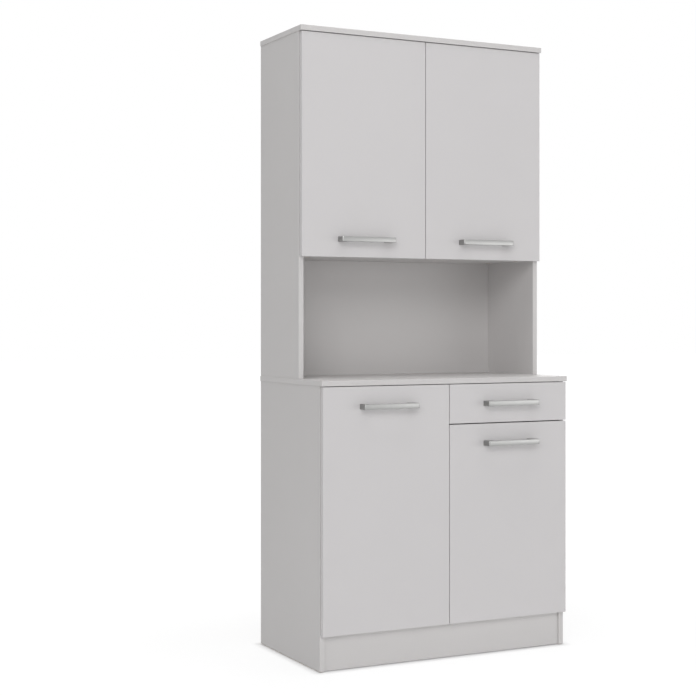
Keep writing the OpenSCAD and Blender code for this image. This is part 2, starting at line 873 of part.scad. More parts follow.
module cabinet_rollers() {
    color("white") for (s = [-1, 1]) at_runner(s)
        translate([0, cabinet_roller_y, cabinet_roller_z]) roller(cabinet_roller_r);
}

module drawer_rollers() {
    color("white") for (s = [-1, 1]) at_runner(s)
        translate([0, drawer_roller_y, drawer_roller_z]) roller(drawer_roller_r);
}

// flat screws through the runners into both walls of the bay
module runner_screws() {
    for (s = [-1, 1], y = runner_screw_y) at_runner(s) translate([0, y, drawer_roller_z]) {
        shaft_x(screw_r, -12, steel_t);
        shaft_x(3.4, steel_t, steel_t + 0.7);
    }
}

module runner_holes() {
    for (s = [-1, 1], y = runner_screw_y) at_runner(s) translate([0, y, drawer_roller_z])
        shaft_x(screw_r + fit, -12.4, 1);
}

// ---------------------------------------------------------------- drawer

module drawer_front() {
    color([0.80, 0.80, 0.81]) difference() {
        front_panel(drawer_face);
        slab([bay_mid - box_w / 2 + drawer_t - drawer_groove, base_y - front_gap - drawer_groove,
              drawer_floor_z - fit],
             [bay_mid + box_w / 2 - drawer_t + drawer_groove, base_y,
              drawer_floor_z + drawer_floor_t + fit]);
        drawer_dowels() shaft_y(3 + fit, -10.4, 1);
    }
}

module drawer_side(s) {
    outer = bay_mid + s * box_w / 2;
    color([0.80, 0.80, 0.81]) difference() {
        translate([outer, base_y - front_gap, box_low])
            slab([s > 0 ? -drawer_t : 0, 0, 0], [s > 0 ? 0 : drawer_t, drawer_len, drawer_h]);
        translate([outer - s * drawer_t, 0, 0])
            slab([-drawer_groove, base_y - front_gap - 1, drawer_floor_z - fit],
                 [drawer_groove, box_back + 1, drawer_floor_z + drawer_floor_t + fit]);
        drawer_dowels() shaft_y(3 + fit, -1, 20.5);
        back_screws() {
            shaft_x(screw_r + 0.3, -1, drawer_t + 1);
            shaft_x(3.7, -1, 2);
        }
    }
}

module drawer_side_left() { drawer_side(-1); }

module drawer_side_right() { drawer_side(1); }

module drawer_back() {
    color([0.80, 0.80, 0.81]) difference() {
        translate([bay_mid, box_back, 0])
            slab([drawer_t - box_w / 2, -drawer_t, drawer_floor_z + drawer_floor_t + fit],
                 [box_w / 2 - drawer_t, 0, box_low + drawer_h]);
        back_screws() shaft_x(screw_r + fit, 0, drawer_t + 22.5);
    }
}

module drawer_bottom() {
    half = box_w / 2 - drawer_t + drawer_groove - 0.5;
    color([0.76, 0.76, 0.77])
        slab([bay_mid - half, base_y - front_gap - drawer_groove + 0.5, drawer_floor_z],
             [bay_mid + half, box_back, drawer_floor_z + drawer_floor_t]);
}

// dowels between the drawer's sides and its front
module drawer_dowels() {
    for (s = [-1, 1], z = [box_low + 28, box_low + drawer_h - 14])
        translate([bay_mid + s * (box_w - drawer_t) / 2, base_y - front_gap, z]) children();
}

// screws through the drawer's sides into its back
module back_screws() {
    for (s = [0, 1], z = [box_low + 28, box_low + drawer_h - 14])
        translate([bay_mid, box_back - drawer_t / 2, z]) mirror([s, 0, 0])
            translate([-box_w / 2, 0, 0]) children();
}

module drawer_fixings() {
    color("gray") {
        handle_screws(drawer_face);
        drawer_dowels() shaft_y(3, -10, 20);
        back_screws() {
            shaft_x(screw_r, 2, drawer_t + 22);
            shaft_x(3.5, 0.2, 2);
        }
    }
}

base_side_left();
base_side_right();
base_bottom();
base_divider();
plinth();
countertop();
base_back();
base_shelf_left();
base_shelf_right();
hutch_side_left();
hutch_side_right();
hutch_bottom();
hutch_top();
hutch_shelf();
hutch_back();
shelf_pins();
floor_glides();
door_bumpers();
cam_locks();
cam_bolts();
panel_dowels();
confirmat_screws();
wall_brackets();
hinge_plates();
hinge_arms();
fixing_screws();
cabinet_runner_left();
cabinet_runner_right();
cabinet_rollers();
drawer_front();
drawer_side_left();
drawer_side_right();
drawer_back();
drawer_bottom();
drawer_runner_left();
drawer_runner_right();
drawer_rollers();
handle(drawer_face);  // drawer_handle
drawer_fixings();
door(upper_left);  // door_upper_left
handle(upper_left);  // handle_upper_left
hinge_cups(upper_left);  // hinge_cups_upper_left
hinge_pins(upper_left);  // hinge_pins_upper_left
door_screws(upper_left);  // screws_upper_left
door(upper_right);  // door_upper_right
handle(upper_right);  // handle_upper_right
hinge_cups(upper_right);  // hinge_cups_upper_right
hinge_pins(upper_right);  // hinge_pins_upper_right
door_screws(upper_right);  // screws_upper_right
door(lower_left);  // door_lower_left
handle(lower_left);  // handle_lower_left
hinge_cups(lower_left);  // hinge_cups_lower_left
hinge_pins(lower_left);  // hinge_pins_lower_left
door_screws(lower_left);  // screws_lower_left
door(lower_right);  // door_lower_right
handle(lower_right);  // handle_lower_right
hinge_cups(lower_right);  // hinge_cups_lower_right
hinge_pins(lower_right);  // hinge_pins_lower_right
door_screws(lower_right);  // screws_lower_right
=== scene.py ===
"""Tall kitchen cabinet with a microwave niche, in light grey board with satin handles.

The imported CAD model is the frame. New meshes stand for its boards, sheets,
handles, hinges, runners, rollers, screws, dowels and small fittings. The hinge
pins, cam bolts and shelf pins are the CAD nodes themselves. Everything gets a
procedural finish.
"""

import json
import math

import bmesh
import bpy
from bpy.props import FloatProperty, FloatVectorProperty, IntProperty, PointerProperty
from mathutils import Matrix, Vector

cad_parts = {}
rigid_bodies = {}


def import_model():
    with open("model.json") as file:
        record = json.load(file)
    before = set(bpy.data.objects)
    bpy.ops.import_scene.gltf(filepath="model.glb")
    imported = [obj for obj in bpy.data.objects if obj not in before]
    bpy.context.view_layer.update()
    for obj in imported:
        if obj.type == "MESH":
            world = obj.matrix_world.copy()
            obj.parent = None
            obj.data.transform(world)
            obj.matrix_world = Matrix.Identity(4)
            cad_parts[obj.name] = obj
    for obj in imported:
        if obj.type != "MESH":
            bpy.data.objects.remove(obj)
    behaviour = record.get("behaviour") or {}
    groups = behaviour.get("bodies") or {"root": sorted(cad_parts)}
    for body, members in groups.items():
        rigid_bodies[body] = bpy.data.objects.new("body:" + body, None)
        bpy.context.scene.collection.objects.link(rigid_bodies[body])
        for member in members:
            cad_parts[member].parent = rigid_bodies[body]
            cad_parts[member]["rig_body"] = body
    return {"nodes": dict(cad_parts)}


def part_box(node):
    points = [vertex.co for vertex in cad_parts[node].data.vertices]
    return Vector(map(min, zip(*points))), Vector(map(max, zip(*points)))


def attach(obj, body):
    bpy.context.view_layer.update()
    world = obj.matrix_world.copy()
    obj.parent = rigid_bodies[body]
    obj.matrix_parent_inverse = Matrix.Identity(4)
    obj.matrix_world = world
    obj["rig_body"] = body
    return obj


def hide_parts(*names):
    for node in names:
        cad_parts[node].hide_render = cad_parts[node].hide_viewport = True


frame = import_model()

bl_info = {
    "name": "Microwave Cabinet",
    "version": (1, 0, 0),
    "blender": (4, 5, 0),
    "location": "3D View > Sidebar > Cabinet",
    "description": "Builds a tall kitchen cabinet round its packed CAD frame",
    "category": "Object",
}

X, Y, Z = 0, 1, 2
# Distances in metres: below the first, two points are one, and below the second, a
# point lies on a plane or two radii are equal.
SAME_POINT = 1e-6
ON_PLANE = 1e-5
# A face is level if its normal is this much along one axis.
LEVEL = 0.9999

# Material slots: of a banded board, of a sheet, and of screws mixed with dowels.
FACE, BAND, CORE = 0, 1, 2
LACQUERED, RAW = 0, 1
STEEL, WOOD = 0, 1

NODES = frame["nodes"]
DOORS = ("upper_left", "upper_right", "lower_left", "lower_right")

# Each board: the axis of its thickness, and the sides that carry an edge band.
BOARDS = {
    "base_side_left": (X, ("-y",)),
    "base_side_right": (X, ("-y",)),
    "base_bottom": (Z, ("-y",)),
    "base_divider": (X, ("-y",)),
    "plinth": (Y, ("+z", "-z")),
    "countertop": (Z, ("-x", "+x", "-y")),
    "base_shelf_left": (Z, ("-y",)),
    "base_shelf_right": (Z, ("-y",)),
    "hutch_side_left": (X, ("-y",)),
    "hutch_side_right": (X, ("-y",)),
    "hutch_bottom": (Z, ("-y",)),
    "hutch_top": (Z, ("-x", "+x", "-y")),
    "hutch_shelf": (Z, ("-y",)),
}
FRONTS = ("door_upper_left", "door_upper_right", "door_lower_left",
          "door_lower_right", "drawer_front")
DRAWER_BOARDS = {
    "drawer_side_left": (X, ("+z",)),
    "drawer_side_right": (X, ("+z",)),
    "drawer_back": (Y, ("+z",)),
}
# Each sheet, and its raw face. The opposite face is lacquered.
SHEETS = {"base_back": "+y", "hutch_back": "+y", "drawer_bottom": "-z"}

# Degrees above which the surface of a turned part is sharp.
TURNED_ANGLE = 50.0
SCREW_SIDES = 24
DOWEL_SIDES = 32

# The soft boxes of the stage: the place of each in metres, and its width and height.
SOFT_BOXES = {
    "key": ((5.1, -5.0, 0.9), (6.4, 1.8)),
    "fill": ((-4.6, -5.0, 1.9), (5.0, 3.6)),
    "high": ((-3.7, -6.4, 4.6), (5.0, 3.0)),
    "top": ((0.0, -0.6, 4.6), (4.0, 2.0)),
    "rear": ((2.4, 5.2, 2.2), (4.6, 3.0)),
}
AIM = Vector((0.0, 0.0, 0.8))

# The camera: place in metres, heading from +Y in radians, sensor width in
# millimetres, and vertical shift as a share of the sensor's width.
CAMERA_PLACE = (-2.1222, -3.7817, 0.95495)
CAMERA_HEADING = -0.46541
CAMERA_SENSOR = 36.0
CAMERA_SHIFT = -0.03917

# The floor turns white away from the cabinet's foot, so that only its shadow shows:
# by how much within the foot's near reach, and by how much more within the far one.
NEAR_WHITE, NEAR_REACH = 0.80, 0.03
FAR_WHITE, FAR_REACH = 0.20, 1.2
# The near part starts this far inside the foot's outline, in metres.
INSIDE_FOOT = -0.01
WHITE_STRENGTH = 1.06
WHITE = (1.0, 1.0, 1.0, 1.0)


# ------------------------------------------------------------------ settings


class BoardSettings(bpy.types.PropertyGroup):
    """Sizes and colours of the boards and sheets."""

    band: FloatProperty(
        name="Band thickness", description="Thickness of the edge bands",
        default=0.001, min=0.0004, max=0.002, unit="LENGTH")
    arris: FloatProperty(
        name="Arris", description="Rounding along the edges of the banded boards",
        default=0.0006, min=0.0001, max=0.0009, unit="LENGTH")
    front_colour: FloatVectorProperty(
        name="Fronts", description="Colour of the doors and the drawer front",
        default=(0.592, 0.577, 0.581), subtype="COLOR")
    carcass_colour: FloatVectorProperty(
        name="Carcass", description="Colour of the carcass boards",
        default=(0.584, 0.570, 0.566), subtype="COLOR")
    # The worktop is the carcass colour made about 5 % lighter. This is painted light, standing in
    # for the brighter light that falls on its top face.
    lit_worktop_colour: FloatVectorProperty(
        name="Worktop", description="Colour of the worktop",
        default=(0.614, 0.597, 0.590), subtype="COLOR")
    sheet_colour: FloatVectorProperty(
        name="Back sheets", description="Colour of the lacquered side of the sheets",
        default=(0.560, 0.545, 0.540), subtype="COLOR")


class MetalSettings(bpy.types.PropertyGroup):
    """Sizes and colours of the handles and steel fittings."""

    foot: FloatProperty(
        name="Foot width", description="Width of a handle's foot",
        default=0.024, min=0.010, max=0.030, unit="LENGTH")
    bar: FloatProperty(
        name="Bar thickness", description="Thickness of a handle's bar",
        default=0.007, min=0.004, max=0.010, unit="LENGTH")
    corner: FloatProperty(
        name="Outer corner", description="Radius of a handle's outer corners",
        default=0.004, min=0.001, max=0.007, unit="LENGTH")
    hollow: FloatProperty(
        name="Inner corner", description="Radius of a handle's inner corners",
        default=0.005, min=0.001, max=0.010, unit="LENGTH")
    ease: FloatProperty(
        name="Eased edge", description="Rounding of the edges of metal parts",
        default=0.0002, min=0.00005, max=0.0005, unit="LENGTH")
    handle_colour: FloatVectorProperty(
        name="Handles", description="Colour of the satin handles",
        default=(0.33, 0.33, 0.325), subtype="COLOR")
    steel_colour: FloatVectorProperty(
        name="Nickel steel", description="Colour of the hinges",
        default=(0.60, 0.59, 0.57), subtype="COLOR")


class StageSettings(bpy.types.PropertyGroup):
    """Floor, light and camera."""

    key_power: FloatProperty(
        name="Key power", description="Power of the soft light on the right",
        default=79.0, min=0.0, unit="POWER")
    fill_power: FloatProperty(
        name="Fill power", description="Power of the soft light on the left",
        default=78.0, min=0.0, unit="POWER")
    high_power: FloatProperty(
        name="High power", description="Power of the soft light high up in front",
        default=174.0, min=0.0, unit="POWER")
    top_power: FloatProperty(
        name="Top power", description="Power of the soft light overhead",
        default=68.0, min=0.0, unit="POWER")
    rear_power: FloatProperty(
        name="Rear power", description="Power of the soft light behind",
        default=60.0, min=0.0, unit="POWER")
    sky: FloatProperty(
        name="Sky", description="Strength of the even light from all round",
        default=0.28, min=0.0)
    floor_colour: FloatVectorProperty(
        name="Floor", description="Colour of the floor",
        default=(0.95, 0.95, 0.95), subtype="COLOR")
    lens: FloatProperty(
        name="Lens", description="Focal length on a 36 mm wide sensor",
        default=76.228, min=10.0, unit="CAMERA")
    floor_size: IntProperty(
        name="Floor size", description="Width of the floor in metres",
        default=60, min=4)


def boards():
    """Settings of the boards and sheets."""
    return bpy.context.scene.cabinet_boards


def metal():
    """Settings of the handles and steel fittings."""
    return bpy.context.scene.cabinet_metal


# ------------------------------------------------------------------ finishes


class Value:
    """A socket of a node tree, so that shader maths reads as Python expressions."""

    def __init__(self, tree, socket):
        self.tree = tree
        self.socket = socket

    def __add__(self, other):
        return self.tree.math("ADD", self, other)

    def __sub__(self, other):
        return self.tree.math("SUBTRACT", self, other)

    def __rsub__(self, other):
        return self.tree.math("SUBTRACT", other, self)

    def __mul__(self, other):
        return self.tree.math("MULTIPLY", self, other)

    __radd__ = __add__
    __rmul__ = __mul__


class Tree:
    """A node tree, with the methods that add nodes to it."""

    def __init__(self, tree):
        self.tree = tree

    def node(self, kind, settings=None, sockets=None, output=0):
        """Adds a node: its settings first, then the values or links of its sockets."""
        made = self.tree.nodes.new(kind)
        for name, value in (settings or {}).items():
            if name == "stops":
                self.set_stops(made.color_ramp, value)
            else:
                setattr(made, name, value)
        self.feed(made, sockets or {})
        return Value(self, made.outputs[output])

    def feed(self, node, sockets):
        """Links or sets the inputs of a node."""
        for name, value in sockets.items():
            if isinstance(value, Value):
                self.tree.links.new(value.socket, node.inputs[name])
            else:
                node.inputs[name].default_value = value

    @staticmethod
    def set_stops(ramp, stops):
        while len(ramp.elements) < len(stops):
            ramp.elements.new(1.0)
        for element, (position, colour) in zip(ramp.elements, stops):
            element.position = position
            element.color = (*colour, 1.0)

    def math(self, operation, first, second):
        return self.node("ShaderNodeMath", {"operation": operation}, {0: first, 1: second})

    def seen_directly(self):
        """1 for camera, glossy and transmission rays, which see a plain white background."""
        camera = self.node("ShaderNodeLightPath", output="Is Camera Ray")
        glossy = self.node("ShaderNodeLightPath", output="Is Glossy Ray")
        through = self.node("ShaderNodeLightPath", output="Is Transmission Ray")
        return self.math("MINIMUM", camera + glossy + through, 1.0)


class Finish(Tree):
    """The nodes of one procedural material, round a Principled shader."""

    def __init__(self, name):
        self.material = bpy.data.materials.new(name)
        self.material.use_nodes = True
        super().__init__(self.material.node_tree)
        self.shader = self.tree.nodes["Principled BSDF"]
        self.place = self.node("ShaderNodeTexCoord", output="Object")

    def vector(self, operation, first, second=(0.0, 0.0, 0.0)):
        return self.node("ShaderNodeVectorMath", {"operation": operation},
                         {0: first, 1: second}, "Vector")

    def surface(self, **sockets):
        """Feeds the Principled shader, with socket names written in small letters."""
        named = {key.replace("_", " ").title().replace("Ior", "IOR"): value
                 for key, value in sockets.items()}
        self.feed(self.shader, named)
        return self.material

    def stretched(self, scale):
        """Object coordinates, scaled apart along the three axes."""
        return self.node("ShaderNodeMapping", {}, {"Vector": self.place, "Scale": scale}, "Vector")

    def noise(self, scale, detail=2.0, rough=0.5, place=None):
        """Noise from 0 to 1, with so many lumps a metre."""
        sockets = {"Vector": place or self.place, "Scale": scale, "Detail": detail,
                   "Roughness": rough}
        return self.node("ShaderNodeTexNoise", {}, sockets)

    def cells(self, scale):
        """A random colour for each cell, with so many cells a metre."""
        sockets = {"Vector": self.place, "Scale": scale}
        return self.node("ShaderNodeTexVoronoi", {}, sockets, "Color")

    def between(self, value, low, high, to_low, to_high):
        """Spreads value's range low..high over to_low..to_high, smoothly."""
        sockets = {"Value": value, "From Min": low, "From Max": high, "To Min": to_low,
                   "To Max": to_high}
        return self.node("ShaderNodeMapRange", {"interpolation_type": "SMOOTHSTEP"}, sockets)

    def tinted(self, colour, tone):
        """A colour made lighter or darker by a factor that changes over the surface."""
        vector = colour if isinstance(colour, Value) else tuple(colour)
        return self.node("ShaderNodeVectorMath", {"operation": "SCALE"},
                         {"Vector": vector, "Scale": tone}, "Vector")

    def ramp(self, value, stops):
        return self.node("ShaderNodeValToRGB", {"stops": stops}, {"Fac": value}, "Color")

    def mixed(self, mask, first, second):
        """Colour first where the mask is 0 and second where it is 1."""
        # A Mix node's colours are its inputs 6 and 7 and its output 2.
        sockets = {0: mask, 6: (*first, 1.0), 7: (*second, 1.0)}
        return self.node("ShaderNodeMix", {"data_type": "RGBA"}, sockets, 2)

    def bumped(self, height, distance, strength):
        return self.node("ShaderNodeBump", {},
                         {"Height": height, "Distance": distance, "Strength": strength})


def melamine(name, colour, roughness):
    """Pressed melamine face: fine pearl relief, faint change of tone, hardly any sheen."""
    f = Finish(name)
    cloud = f.noise(3.1, 3.0)
    pearl = f.noise(950.0, 1.0)
    fleck = f.noise(210.0, 4.0, 0.7)
    handled = f.noise(14.0, 4.0, 0.6)
    tone = 1.0 + 0.035 * (cloud - 0.5) + 0.03 * (fleck - 0.5)
    rough = roughness + 0.10 * (handled - 0.5) + 0.05 * (pearl - 0.5)
    return f.surface(
        base_color=f.tinted(colour, tone), roughness=rough,
        normal=f.bumped(pearl + 0.6 * fleck, 0.00006, 0.35))


def edge_band(name, colour):
    """Edge band in the colour of the face, with fine lines along the edges of the fronts."""
    f = Finish(name)
    lines = f.noise(40.0, 3.0, 0.6, f.stretched((1.0, 30.0, 1.0)))
    scuff = f.noise(90.0, 5.0, 0.7)
    tone = 1.0 + 0.04 * (lines - 0.5) + 0.03 * (scuff - 0.5)
    return f.surface(
        base_color=f.tinted(colour, tone), roughness=0.48 + 0.12 * (scuff - 0.5),
        normal=f.bumped(lines, 0.00008, 0.4))


def chipboard(name):
    """Raw board core, seen in bores, in grooves and on edges without a band."""
    f = Finish(name)
    chips = f.cells(420.0)
    shade = f.node("ShaderNodeSeparateColor", {}, {"Color": chips}, 0)
    dust = f.noise(1500.0, 3.0, 0.7)
    colour = f.ramp(shade, [(0.0, (0.20, 0.115, 0.055)), (0.35, (0.40, 0.265, 0.145)),
                            (0.7, (0.52, 0.37, 0.22)), (1.0, (0.66, 0.51, 0.33))])
    tone = 0.8 + 0.4 * dust
    return f.surface(
        base_color=f.tinted(colour, tone), roughness=0.82 + 0.1 * (dust - 0.5),
        normal=f.bumped(shade + dust, 0.0003, 0.8))


def hardboard(name):
    """Raw side of a sheet: brown fibres in a cloudy tone."""
    f = Finish(name)
    fibre = f.noise(700.0, 5.0, 0.75, f.stretched((1.0, 1.0, 0.35)))
    cloud = f.noise(5.0, 4.0, 0.6)
    colour = f.ramp(fibre, [(0.25, (0.105, 0.058, 0.030)), (0.55, (0.195, 0.118, 0.066)),
                            (0.8, (0.30, 0.195, 0.118))])
    return f.surface(
        base_color=f.tinted(colour, 0.88 + 0.24 * cloud), roughness=0.72 + 0.12 * (fibre - 0.5),
        normal=f.bumped(fibre, 0.0002, 0.7))


def satin_metal(name, colour):
    """Satin handle metal, brushed along X."""
    f = Finish(name)
    brushed = f.noise(35.0, 4.0, 0.65, f.stretched((1.0, 60.0, 60.0)))
    fingers = f.noise(60.0, 3.0, 0.6)
    tone = 1.0 + 0.10 * (brushed - 0.5)
    return f.surface(
        base_color=f.tinted(colour, tone), metallic=1.0,
        roughness=0.36 + 0.14 * (brushed - 0.5) + 0.06 * (fingers - 0.5),
        normal=f.bumped(brushed, 0.00004, 0.35))


def plated_steel(name, colour, roughness):
    """Pressed steel with a nickel or zinc plate: soft dents and a mottled sheen."""
    f = Finish(name)
    mottle = f.noise(260.0, 4.0, 0.6)
    rolled = f.noise(45.0, 3.0, 0.6, f.stretched((1.0, 1.0, 14.0)))
    tone = 0.94 + 0.12 * mottle
    return f.surface(
        base_color=f.tinted(colour, tone), metallic=1.0,
        roughness=roughness + 0.18 * (mottle - 0.5) + 0.06 * (rolled - 0.5),
        normal=f.bumped(mottle + rolled, 0.00006, 0.4))


def cast_zinc(name):
    """Die-cast cam: dull grey with a grainy skin."""
    f = Finish(name)
    grain = f.noise(1400.0, 3.0, 0.7)
    flow = f.noise(180.0, 4.0, 0.6)
    return f.surface(
        base_color=f.tinted((0.40, 0.41, 0.42), 0.85 + 0.3 * flow), metallic=0.9,
        roughness=0.46 + 0.2 * (grain - 0.5), normal=f.bumped(grain + flow, 0.00012, 0.6))


def powder_coat(name):
    """White powder coat of the runners, with its orange peel."""
    f = Finish(name)
    peel = f.noise(620.0, 2.0, 0.5)
    worn = f.between(f.noise(95.0, 5.0, 0.7), 0.60, 0.72, 0.0, 1.0)
    colour = f.mixed(worn, (0.70, 0.70, 0.685), (0.62, 0.62, 0.60))
    return f.surface(base_color=colour, roughness=0.32 + 0.25 * worn,
                     normal=f.bumped(peel, 0.0001, 0.5))


def moulded(name, colour, roughness):
    """Moulded plastic: even, with a fine spark-eroded skin and faint flow marks."""
    f = Finish(name)
    skin = f.noise(1600.0, 2.0)
    flow = f.noise(120.0, 3.0, 0.6)
    return f.surface(
        base_color=f.tinted(colour, 0.95 + 0.10 * flow),
        roughness=roughness + 0.12 * (skin - 0.5), normal=f.bumped(skin + flow, 0.00008, 0.5))


def silicone(name):
    """Clear soft bumper, a little cloudy inside."""
    f = Finish(name)
    cloud = f.noise(320.0, 3.0, 0.6)
    f.surface(base_color=f.tinted((0.86, 0.87, 0.87), 0.94 + 0.08 * cloud),
              roughness=0.22 + 0.16 * cloud, normal=f.bumped(cloud, 0.00006, 0.4))
    return f.surface(transmission_weight=0.55, ior=1.41)


def beech(name):
    """Turned beech dowel, with its grain and pores along X."""
    f = Finish(name)
    grain = f.noise(70.0, 5.0, 0.6, f.stretched((1.0, 9.0, 9.0)))
    pores = f.noise(900.0, 2.0, 0.5, f.stretched((0.12, 1.0, 1.0)))
    colour = f.ramp(grain, [(0.3, (0.47, 0.30, 0.165)), (0.7, (0.66, 0.47, 0.29))])
    tone = f.between(pores, 0.30, 0.42, 0.72, 1.0)
    return f.surface(base_color=f.tinted(colour, tone), roughness=0.58 + 0.14 * (pores - 0.5),
                     normal=f.bumped(pores, 0.0001, 0.5))


FINISHES = {}


def finish(name):
    """The finish of that name, which main has made."""
    return FINISHES[name]


def make_finishes():
    """All finishes of the cabinet, by name."""
    return {
        "front": melamine("front_melamine", boards().front_colour, 0.46),
        "front_band": edge_band("front_edge_band", boards().front_colour),
        "carcass": melamine("carcass_melamine", boards().carcass_colour, 0.50),
        "carcass_band": edge_band("carcass_edge_band", boards().carcass_colour),
        # The worktop's lighter melamine is painted light: the carcass colour lightened for the
        # light on its top.
        "worktop": melamine("worktop_melamine", boards().lit_worktop_colour, 0.46),
        "sheet": melamine("sheet_lacquer", boards().sheet_colour, 0.55),
        "core": chipboard("chipboard_core"),
        "hardboard": hardboard("raw_hardboard"),
        "handle": satin_metal("handle_metal", metal().handle_colour),
        "nickel": plated_steel("nickel_steel", metal().steel_colour, 0.24),
        "zinc": plated_steel("zinc_plated_screw", (0.52, 0.53, 0.54), 0.33),
        "cast": cast_zinc("cast_zinc_cam"),
        "runner": powder_coat("runner_powder_coat"),
        "nylon": moulded("roller_nylon", (0.78, 0.78, 0.75), 0.42),
        "glide": moulded("glide_plastic", (0.62, 0.62, 0.60), 0.5),
        "clear": silicone("clear_silicone"),
        "beech": beech("beech_dowel"),
    }


# ------------------------------------------------------------------ mesh tools


def copy_of(node):
    """A closed mesh copy of a CAD node, with its flat faces whole again."""
    flat = math.radians(0.4)
    mesh = bmesh.new()
    mesh.from_mesh(NODES[node].data)
    bmesh.ops.remove_doubles(mesh, verts=mesh.verts, dist=SAME_POINT)
    bmesh.ops.dissolve_limit(mesh, angle_limit=flat, verts=mesh.verts, edges=mesh.edges)
    return mesh


def add_piece(name, mesh, skins, node):
    """Makes the mesh an object that stands for the CAD node and rides on its body."""
    data = bpy.data.meshes.new(name)
    mesh.to_mesh(data)
    mesh.free()
    for skin in skins:
        data.materials.append(skin)
    piece = bpy.data.objects.new(name, data)
    bpy.context.scene.collection.objects.link(piece)
    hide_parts(node)
    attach(piece, NODES[node]["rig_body"])
    return piece


def dress(node, skin):
    """Gives its finish to a CAD node that stays in view."""
    materials = NODES[node].data.materials
    materials.clear()
    materials.append(finish(skin))


def along(axis, length):
    """A vector along one axis."""
    vector = Vector((0.0, 0.0, 0.0))
    vector[axis] = length
    return vector


def side_plane(node, side):
    """The plane of one side of a node's box: its axis, its place and its outward sign."""
    low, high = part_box(node)
    axis = "xyz".index(side[1])
    sign = 1 if side[0] == "+" else -1
    return axis, (high if sign > 0 else low)[axis], sign


def is_level(face):
    """True if the face looks along one of the axes."""
    return max(abs(c) for c in face.normal) > LEVEL


def cut_across(mesh, axis, place):
    """Cuts a line round the mesh where it crosses a plane."""
    parts = mesh.verts[:] + mesh.edges[:] + mesh.faces[:]
    bmesh.ops.bisect_plane(mesh, geom=parts, dist=SAME_POINT, plane_co=along(axis, place),
                           plane_no=along(axis, 1.0))


def sharp_outer_edges(mesh, kinds, angle=30.0):
    """Convex edges between two faces whose material is one of those kinds."""
    limit = math.radians(angle)
    return [edge for edge in mesh.edges
            if len(edge.link_faces) == 2 and edge.is_convex
            and all(face.material_index in kinds for face in edge.link_faces)
            and edge.calc_face_angle(0.0) > limit]


def ease(mesh, edges, radius, segments):
    """Rounds these edges."""
    bmesh.ops.bevel(mesh, geom=edges, offset=radius, offset_type="OFFSET", affect="EDGES",
                    segments=segments, profile=0.5, material=-1, clamp_overlap=False,
                    loop_slide=True)


def banded_board(node, thickness, banded, band, arris):
    """Board with melamine faces, bands with rounded edges, and its raw core elsewhere."""
    mesh = copy_of(node)
    low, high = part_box(node)
    planes = [side_plane(node, side) for side in banded]
    for axis, place, sign in planes:
        cut_across(mesh, axis, place - sign * band)
    for face in mesh.faces:
        centre = face.calc_center_median()
        inside = min(centre[thickness] - low[thickness], high[thickness] - centre[thickness])
        in_band = any(sign * (place - centre[axis]) < band - SAME_POINT
                      for axis, place, sign in planes)
        if in_band:
            face.material_index = BAND
        elif is_level(face) and inside < ON_PLANE:
            face.material_index = FACE
        else:
            face.material_index = CORE
    ease(mesh, sharp_outer_edges(mesh, (FACE, BAND)), arris, 3)
    for face in mesh.faces:
        face.smooth = not is_level(face) and face.material_index == CORE
    return mesh


def thin_sheet(node, raw_side):
    """Sheet that is lacquered on one face, and raw on the other and at its edges."""
    mesh = copy_of(node)
    axis, _, sign = side_plane(node, raw_side)
    for face in mesh.faces:
        lacquered = face.normal[axis] * sign < -LEVEL
        face.material_index = LACQUERED if lacquered else RAW
        face.smooth = not is_level(face)
    return mesh


def smooth_by_angle(mesh, angle=35.0, flat_angle=14.0):
    """Smooth faces, with edges sharp above an angle, or above flat_angle round a level face."""
    for face in mesh.faces:
        face.smooth = True
    for edge in mesh.edges:
        on_flat = sum(is_level(face) for face in edge.link_faces) == 1
        limit = math.radians(flat_angle if on_flat else angle)
        edge.smooth = len(edge.link_faces) == 2 and edge.calc_face_angle(0.0) < limit


def eased_copy(node, radius, segments=2, angle=40.0):
    """Copy of a pressed or moulded CAD node with its outer edges eased."""
    mesh = copy_of(node)
    ease(mesh, sharp_outer_edges(mesh, (0,), angle), radius, segments)
    smooth_by_angle(mesh)
    return mesh


# ------------------------------------------------------------------ handles


def round_corners(mesh, corners, radius):
    """Rounds these corners of a flat outline."""
    bmesh.ops.bevel(mesh, geom=corners, offset=radius, affect="VERTICES", segments=8,
                    profile=0.5, material=-1, clamp_overlap=False)


def handle_mesh(node):
    """Bow handle: its outline drawn with round corners, extruded, and its rims eased."""
    rim_angle = 1.0
    low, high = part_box(node)
    mesh = bmesh.new()
    inner_low, inner_high = low.x + metal().foot, high.x - metal().foot
    inner_y = low.y + metal().bar
    outline = ((low.x, high.y), (low.x, low.y), (high.x, low.y), (high.x, high.y),
               (inner_high, high.y), (inner_high, inner_y), (inner_low, inner_y),
               (inner_low, high.y))
    corners = [mesh.verts.new((x, y, low.z)) for x, y in outline]
    mesh.faces.new(corners)
    round_corners(mesh, corners[1:3], metal().corner)
    inner = [v for v in mesh.verts if abs(v.co.y - inner_y) < SAME_POINT
             and inner_low - SAME_POINT < v.co.x < inner_high + SAME_POINT]
    round_corners(mesh, inner, metal().hollow)
    raised = bmesh.ops.extrude_face_region(mesh, geom=mesh.faces[:])
    verts = [v for v in raised["geom"] if isinstance(v, bmesh.types.BMVert)]
    bmesh.ops.translate(mesh, verts=verts, vec=(0.0, 0.0, high.z - low.z))
    bmesh.ops.recalc_face_normals(mesh, faces=mesh.faces)
    # The rims run along both flat sides, and the feet's edges on the front stay sharp.
    rims = [e for e in mesh.edges
            if abs(e.verts[0].co.z - e.verts[1].co.z) < SAME_POINT
            and not all(abs(v.co.y - high.y) < SAME_POINT for v in e.verts)
            and e.calc_face_angle(0.0) > rim_angle]
    ease(mesh, rims, 3.0 * metal().ease, 3)
    smooth_by_angle(mesh)
    return mesh


# ------------------------------------------------------------------ screws


